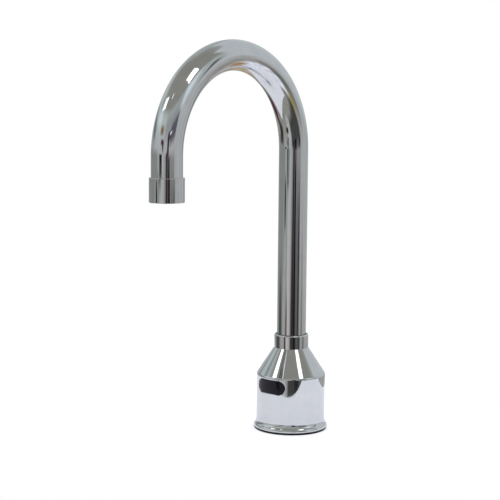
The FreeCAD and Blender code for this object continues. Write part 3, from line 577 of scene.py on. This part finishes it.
def makeScreens():
    tree, given = newTree("wireCloth", wireCloth)
    left = addNode(tree, "ShaderNodeMath", [given["cloth radius"], -1.0], operation="MULTIPLY")
    start = addNode(tree, "ShaderNodeCombineXYZ", {"X": left})
    end = addNode(tree, "ShaderNodeCombineXYZ", {"X": given["cloth radius"]})
    line = addNode(tree, "GeometryNodeCurvePrimitiveLine", {"Start": start, "End": end})
    wire = addNode(tree, "GeometryNodeResampleCurve", {"Curve": line, "Count": given["stations"]})
    half = addNode(tree, "ShaderNodeMath", [given["wires"], -0.5, 0.5], operation="MULTIPLY_ADD")
    firstRow = addNode(tree, "ShaderNodeMath", [half, given["wire spacing"]], operation="MULTIPLY")
    rows = addNode(tree, "GeometryNodeMeshLine", {
        "Count": given["wires"], "Start Location": addNode(tree, "ShaderNodeCombineXYZ", {"Y": firstRow}),
        "Offset": addNode(tree, "ShaderNodeCombineXYZ", {"Y": given["wire spacing"]})})
    laid = addNode(tree, "GeometryNodeInstanceOnPoints", {"Points": rows, "Instance": wire})
    loose = addNode(tree, "GeometryNodeRealizeInstances", [laid])
    position = addNode(tree, "GeometryNodeInputPosition")
    radius = addNode(tree, "ShaderNodeVectorMath", [position], operation="LENGTH").outputs["Value"]
    outside = addNode(tree, "FunctionNodeCompare", [radius, given["cloth radius"]], operation="GREATER_THAN")
    trimmed = addNode(tree, "GeometryNodeDeleteGeometry", {"Geometry": loose, "Selection": outside})
    place = addNode(tree, "ShaderNodeSeparateXYZ", [position])
    perWire = addNode(tree, "ShaderNodeMath", [math.pi, given["wire spacing"]], operation="DIVIDE")
    waves = []
    for axis in ("X", "Y"):
        beat = addNode(tree, "ShaderNodeMath", [place.outputs[axis], perWire], operation="MULTIPLY")
        waves.append(addNode(tree, "ShaderNodeMath", [beat], operation="COSINE"))
    over = addNode(tree, "ShaderNodeMath", waves, operation="MULTIPLY")
    lift = addNode(tree, "ShaderNodeMath", [over, given["wave"]], operation="MULTIPLY")
    woven = addNode(tree, "GeometryNodeSetPosition", {
        "Geometry": trimmed, "Offset": addNode(tree, "ShaderNodeCombineXYZ", {"Z": lift})})
    section = addNode(tree, "GeometryNodeCurvePrimitiveCircle", {
        "Resolution": given["wire sides"], "Radius": given["wire radius"]})
    warp = addNode(tree, "GeometryNodeCurveToMesh", {
        "Curve": woven, "Profile Curve": section, "Fill Caps": True})
    weft = addNode(tree, "GeometryNodeTransform", {
        "Geometry": warp, "Rotation": (math.pi, 0.0, math.pi / 2)})
    cloth = addNode(tree, "GeometryNodeJoinGeometry", [warp])
    tree.links.new(weft.outputs[0], cloth.inputs[0])   # its one input takes both
    shaded = addNode(tree, "GeometryNodeSetShadeSmooth", [cloth])
    layers = addNode(tree, "GeometryNodeMeshLine", {
        "Count": given["layers"],
        "Start Location": addNode(tree, "ShaderNodeCombineXYZ", {
            "Y": given["outlet y"], "Z": given["first layer"]}),
        "Offset": addNode(tree, "ShaderNodeCombineXYZ", {"Z": given["layer step"]})})
    stacked = addNode(tree, "GeometryNodeInstanceOnPoints", {"Points": layers, "Instance": shaded})
    screens = growPiece("wireScreens", tree, stacked, wireCloth, "stainless_steel")
    finishPiece(screens, "aerator", "stainless_steel", ["aerator_screens"])


makeScreens()

# The screw is turned round a fine bore, which is then taken out and closed.
capScrew = dict(segments=32, boreReach=1.5, corners=[
    (0.4, 0.0), (2.45, 0.0), (2.75, 0.3), (2.75, 2.4), (1.5, 2.4), (1.5, 11.1), (1.2, 11.4), (0.4, 11.4)])
plateScrewSet = {"socket radius": 1.155 * mm, "socket depth": 1.2 * mm, "circle radius": 20.4 * mm,
                 "screws": 3, "head height": 2.5 * mm, "first angle": math.radians(30)}


# Three hex-socket screws hold the base plate from below.
def makePlateScrews():
    blank = bpy.data.meshes.new("plateScrews")
    turned = turnedMesh("blank", roundedOutline(capScrew["corners"]), capScrew["segments"])
    work = bmesh.new()
    work.from_mesh(turned)
    inner = capScrew["corners"][0][0] * mm * capScrew["boreReach"]
    bore = [face for face in work.faces if all(point.co.xy.length < inner for point in face.verts)]
    bmesh.ops.delete(work, geom=bore, context="FACES")
    bmesh.ops.holes_fill(work, edges=work.edges, sides=0)
    bmesh.ops.recalc_face_normals(work, faces=work.faces)
    work.to_mesh(blank)
    work.free()
    tree, given = newTree("plateScrewSet", plateScrewSet)
    # The key is centred on the head's face, so half of its length cuts.
    depth = addNode(tree, "ShaderNodeMath", [given["socket depth"], 2.0], operation="MULTIPLY")
    key = addNode(tree, "GeometryNodeMeshCylinder", {
        "Vertices": 6, "Side Segments": 1, "Radius": given["socket radius"], "Depth": depth})
    screw = addNode(tree, "GeometryNodeMeshBoolean", {"Mesh 1": given["Geometry"], "Mesh 2": key},
                    operation="DIFFERENCE", solver="EXACT")
    ring = addNode(tree, "GeometryNodeMeshCircle", {
        "Vertices": given["screws"], "Radius": given["circle radius"]})
    turn = addNode(tree, "ShaderNodeCombineXYZ", {"Z": given["first angle"]})
    up = addNode(tree, "ShaderNodeCombineXYZ", {"Z": given["head height"]})
    placed = addNode(tree, "GeometryNodeTransform", {"Geometry": ring, "Translation": up, "Rotation": turn})
    screws = addNode(tree, "GeometryNodeInstanceOnPoints", {"Points": placed, "Instance": screw})
    piece = growPiece("plateScrews", tree, screws, plateScrewSet, "stainless_steel", blank)
    mergeSlivers(piece.data)
    smoothExceptEdges(piece.data)
    finishPiece(piece, "base", "stainless_steel", ["plate_screws"])


makePlateScrews()
print("Outlet thread, wire screens and plate screws made")

# A sheet of white paper just under the tap, whose edge shows in the body: metres.
stage = dict(corners=[(-0.167, -0.261), (0.245, -0.043), (0.215, 0.155), (-0.36, 0.17)], below=0.0002,
             colour="#F4F5F8", glow=0.35, mirrorColour="#F2F2FF", mirrorGlow=0.17)


def makeFloor():
    material = bpy.data.materials.new("whitePaper")   # matt coated paper, cool white
    material.use_nodes = True
    tree = material.node_tree
    tree.nodes.clear()
    rays = addNode(tree, "ShaderNodeLightPath").outputs
    paper = addNode(tree, "ShaderNodeBsdfDiffuse", {"Color": hexColour(stage["colour"]), "Roughness": 0.0})
    seen = addNode(tree, "ShaderNodeMath", [rays["Is Camera Ray"], stage["glow"]], operation="MULTIPLY")
    mirrored = addNode(tree, "ShaderNodeMath", [rays["Is Glossy Ray"], stage["mirrorGlow"]],
                       operation="MULTIPLY")
    forCamera = addNode(tree, "ShaderNodeEmission", {"Color": hexColour("#FFFFFF"), "Strength": seen})
    forMetal = addNode(tree, "ShaderNodeEmission", {
        "Color": hexColour(stage["mirrorColour"]), "Strength": mirrored})
    both = addNode(tree, "ShaderNodeAddShader", [forCamera, forMetal])
    addNode(tree, "ShaderNodeOutputMaterial", [addNode(tree, "ShaderNodeAddShader", [both, paper])])
    mesh = bpy.data.meshes.new("paperFloor")
    mesh.from_pydata([(x, y, -stage["below"]) for x, y in stage["corners"]], [], [(0, 1, 2, 3)])
    mesh.materials.append(material)
    newObject("paperFloor", mesh)


makeFloor()

# The room as the chrome shows it. Each patch: azimuth, half width, elevation, half height and
# softness in degrees, and its colour. Azimuth 0 is in front of the tap, and +90 towards +X.
roomPatches = [
    (-160, 52, 28, 34, 18, "#969C9C"),     # pale wall behind
    (176, 41, 30, 29, 3, "#ABB0B2"),
    (-50, 60, 22, 12, 8, "#A6AEAD"),       # light wall in front
    (-44, 18, 26, 6, 5, "#BCC4C6"),
    (50, 32, 22, 9, 8, "#868B8B"),
    (102, 12, 26, 9, 6, "#C0CACF"),        # daylight on the right
    (129, 2.5, 15, 7, 2.5, "#44484C"),
    (-84, 20, 10, 5, 5, "#636769"),        # shapes above the horizon
    (-70, 7, 30, 4, 3, "#848986"),
    (76, 18, 12, 7, 4, "#545358"),
    (52, 11, 12.5, 3.5, 1.5, "#4E4955"),
    (61, 5, 13, 0.8, 0.5, "#E6E4F2"),
    (-6, 12, 20, 4, 3, "#766650"),
    (3, 8, 10, 2.5, 1.5, "#5E3A44"),
    (11, 5, 5, 6, 1.5, "#221D22"),
    (49, 6, 5, 8, 2, "#3A2A24"),
    (62, 36, -21, 17, 7, "#3F3F3E"),       # dark side of the room
    (42, 6, -6, 6, 2.5, "#33261F"),
    (56, 6, -8, 5, 1.5, "#131316"),
    (75, 6, -8, 3, 2, "#5A5C5E"),
    (88, 4, -7.5, 2.5, 1.5, "#1C1C1F"),
    (-70, 44, -6, 7, 4, "#7B7E7B"),        # light between
    (12, 12, -22, 24, 5, "#A3A3A2"),
    (-34, 11, -13, 7, 4, "#8F8F8B"),
    (-13, 7, -8, 7, 3, "#878A88"),
    (-25, 5, -5.3, 1.0, 0.4, "#101315"),
    (-3, 9, -2.6, 1.9, 0.7, "#1D191A"),
    (-6, 4.5, -11.8, 2.6, 0.8, "#45110E"),
    (-12, 3, 50, 2.5, 1.2, "#55554F"),
    (0, 3.5, 52, 2.5, 1.2, "#F0F4F6"),
    (-60, 15, -20, 9, 5, "#2C302E"),
    (-68, 13, -11, 2.5, 1.5, "#40423C"),
    (-2, 9, -28, 3.5, 2, "#1E1E20"),
    (-90, 16, -29, 8, 5, "#4A1424"),       # low shapes, and the pale floor behind
    (-113, 8, -20, 6, 4, "#3A3C3E"),
    (-150, 20, -33, 10, 8, "#A2917A"),
    (106, 7, -23, 6, 3, "#8F8139"),
    (124, 9, -18, 11, 5, "#666866"),
    (145, 42, -52, 24, 5, "#CDD0DA"),
    (-150, 50, -58, 14, 6, "#C6C9D4"),
    (168, 12, -33, 6, 4, "#9A7D5C"),
]
# Two lamps in soft boxes: metres, degrees of roll, brightness as the chrome shows it.
softBoxes = {"softBoxLeft": dict(place=(-0.32, -0.51, 0.65), width=0.18, height=0.125, roll=22, glow=2.0),
             "softBoxRight": dict(place=(1.15, -0.19, 1.85), width=0.48, height=0.88, roll=34, glow=2.0)}
# Base shades run from straight down, 0, to straight up, 1. Streaks begin and are full at these
# elevations in degrees. The soft colour lights what isn't a mirror.
room = dict(base=[(0.0, "#85847E"), (0.36, "#85847E"), (0.42, "#8F8D8A"), (0.455, "#A0A0A0"),
                  (0.54, "#A2A4A4"), (0.68, "#9AA09E"), (0.725, "#80807A"), (1.0, "#7C7C76")],
            mirrorStrength=1.6, streaks=0.24, streakScale=(13.0, 13.0, 2.5), streakDetail=2.0,
            streakRange=(0.3, 0.7), streaksFrom=5, streaksFull=-10,
            soft="#FBFCFF", softStrength=0.92, lampsLookAt=(0.0, -0.04, 0.15))


def makeRoom():
    world = bpy.data.worlds.new("studioRoom")
    bpy.context.scene.world = world
    world.use_nodes = True
    tree = world.node_tree
    tree.nodes.clear()
    direction = addNode(tree, "ShaderNodeTexCoord").outputs["Generated"]
    split = addNode(tree, "ShaderNodeSeparateXYZ", [direction]).outputs
    backward = addNode(tree, "ShaderNodeMath", [split["Y"], -1.0], operation="MULTIPLY")
    azimuth = addNode(tree, "ShaderNodeMath", [split["X"], backward], operation="ARCTAN2")
    elevation = addNode(tree, "ShaderNodeMath", [split["Z"]], operation="ARCSINE")
    height = addNode(tree, "ShaderNodeMapRange", {
        "Value": elevation, "From Min": -math.pi / 2, "From Max": math.pi / 2})
    base = addNode(tree, "ShaderNodeValToRGB", [height])
    setStops(base, room["base"])
    colour = base.outputs["Color"]
    for *angles, code in roomPatches:
        middleAz, halfAz, middleEl, halfEl, soft = map(math.radians, angles)
        away = addNode(tree, "ShaderNodeMath", [azimuth, middleAz], operation="SUBTRACT")
        across = addNode(tree, "ShaderNodeMath", [away, math.pi, -math.pi], operation="WRAP")
        up = addNode(tree, "ShaderNodeMath", [elevation, middleEl], operation="SUBTRACT")
        fades = []
        for distance, half in ((across, halfAz), (up, halfEl)):
            size = addNode(tree, "ShaderNodeMath", [distance], operation="ABSOLUTE")
            fades.append(addNode(tree, "ShaderNodeMapRange", {
                "Value": size, "From Min": half + soft, "From Max": half - soft},
                interpolation_type="SMOOTHSTEP"))
        mask = addNode(tree, "ShaderNodeMath", fades, operation="MULTIPLY")
        mix = addNode(tree, "ShaderNodeMix", {0: mask, 6: colour, 7: hexColour(code)}, data_type="RGBA")
        colour = mix.outputs[2]
    upright = addNode(tree, "ShaderNodeVectorMath", [direction, room["streakScale"]], operation="MULTIPLY")
    streak = addNode(tree, "ShaderNodeTexNoise", {
        "Vector": upright, "Scale": 1.0, "Detail": room["streakDetail"]})
    bright, spread = room["mirrorStrength"], room["streaks"]
    shade = addNode(tree, "ShaderNodeMapRange", {
        "Value": streak, "From Min": room["streakRange"][0], "From Max": room["streakRange"][1],
        "To Min": bright * (1 - spread), "To Max": bright * (1 + spread)})
    lower = addNode(tree, "ShaderNodeMapRange", {
        "Value": elevation, "From Min": math.radians(room["streaksFrom"]),
        "From Max": math.radians(room["streaksFull"])})
    strength = addNode(tree, "ShaderNodeMix", {0: lower, 2: bright, 3: shade})
    rays = addNode(tree, "ShaderNodeLightPath").outputs
    mirrored = addNode(tree, "ShaderNodeBackground", {"Color": colour, "Strength": strength})
    softLight = addNode(tree, "ShaderNodeBackground", {
        "Color": hexColour(room["soft"]), "Strength": room["softStrength"]})
    white = addNode(tree, "ShaderNodeBackground", {"Color": hexColour("#FFFFFF"), "Strength": 1.0})
    sharp = addNode(tree, "ShaderNodeMath", [rays["Is Glossy Ray"], rays["Is Transmission Ray"]],
                    operation="MAXIMUM")
    lit = addNode(tree, "ShaderNodeMixShader", [sharp, softLight, mirrored])
    seen = addNode(tree, "ShaderNodeMixShader", [rays["Is Camera Ray"], lit, white])
    addNode(tree, "ShaderNodeOutputWorld", [seen])


def makeSoftBoxes():
    for name, sizes in softBoxes.items():
        data = bpy.data.lights.new(name, "AREA")
        data.shape = "RECTANGLE"
        data.size, data.size_y = sizes["width"], sizes["height"]
        data.energy = sizes["glow"] * math.pi * sizes["width"] * sizes["height"]
        lamp = bpy.data.objects.new(name, data)
        place = Vector(sizes["place"])
        away = (place - Vector(room["lampsLookAt"])).normalized()
        across = Vector((0, 0, 1)).cross(away).normalized()
        upward = away.cross(across)
        facing = Matrix((across, upward, away)).transposed()
        turn = Matrix.Rotation(math.radians(sizes["roll"]), 3, away)
        lamp.matrix_world = Matrix.Translation(place) @ (turn @ facing).to_4x4()
        lamp.visible_camera = False
        bpy.context.scene.collection.objects.link(lamp)


makeRoom()
makeSoftBoxes()

# Camera as in the photograph: degrees, and metres from the body's axis.
camera = dict(lens=103.25, sensor=36, azimuth=38.227, distance=1.0901, height=0.2746,
              yaw=1.705, pitch=7.148, roll=0.491, nearest=0.01)


def makeCamera():
    azimuth, yaw, pitch, roll = (math.radians(camera[k]) for k in ("azimuth", "yaw", "pitch", "roll"))
    place = Vector((math.sin(azimuth) * camera["distance"], -math.cos(azimuth) * camera["distance"],
                    camera["height"]))
    forward = Vector((-math.sin(azimuth), math.cos(azimuth), 0))
    right = Vector((math.cos(azimuth), math.sin(azimuth), 0))
    up = Vector((0, 0, 1))
    forward, right = (forward * math.cos(yaw) - right * math.sin(yaw),
                      right * math.cos(yaw) + forward * math.sin(yaw))
    forward, up = (forward * math.cos(pitch) - up * math.sin(pitch),
                   up * math.cos(pitch) + forward * math.sin(pitch))
    right, up = (right * math.cos(roll) + up * math.sin(roll),
                 up * math.cos(roll) - right * math.sin(roll))
    data = bpy.data.cameras.new("photoCamera")
    data.sensor_width = camera["sensor"]
    data.lens = camera["lens"]
    data.clip_start = camera["nearest"]
    view = bpy.data.objects.new("photoCamera", data)
    view.matrix_world = Matrix((
        (right.x, up.x, -forward.x, place.x), (right.y, up.y, -forward.y, place.y),
        (right.z, up.z, -forward.z, place.z), (0, 0, 0, 1)))
    bpy.context.scene.collection.objects.link(view)
    bpy.context.scene.camera = view


makeCamera()
bpy.context.scene.view_settings.view_transform = "Standard"
print("Stage and camera set")
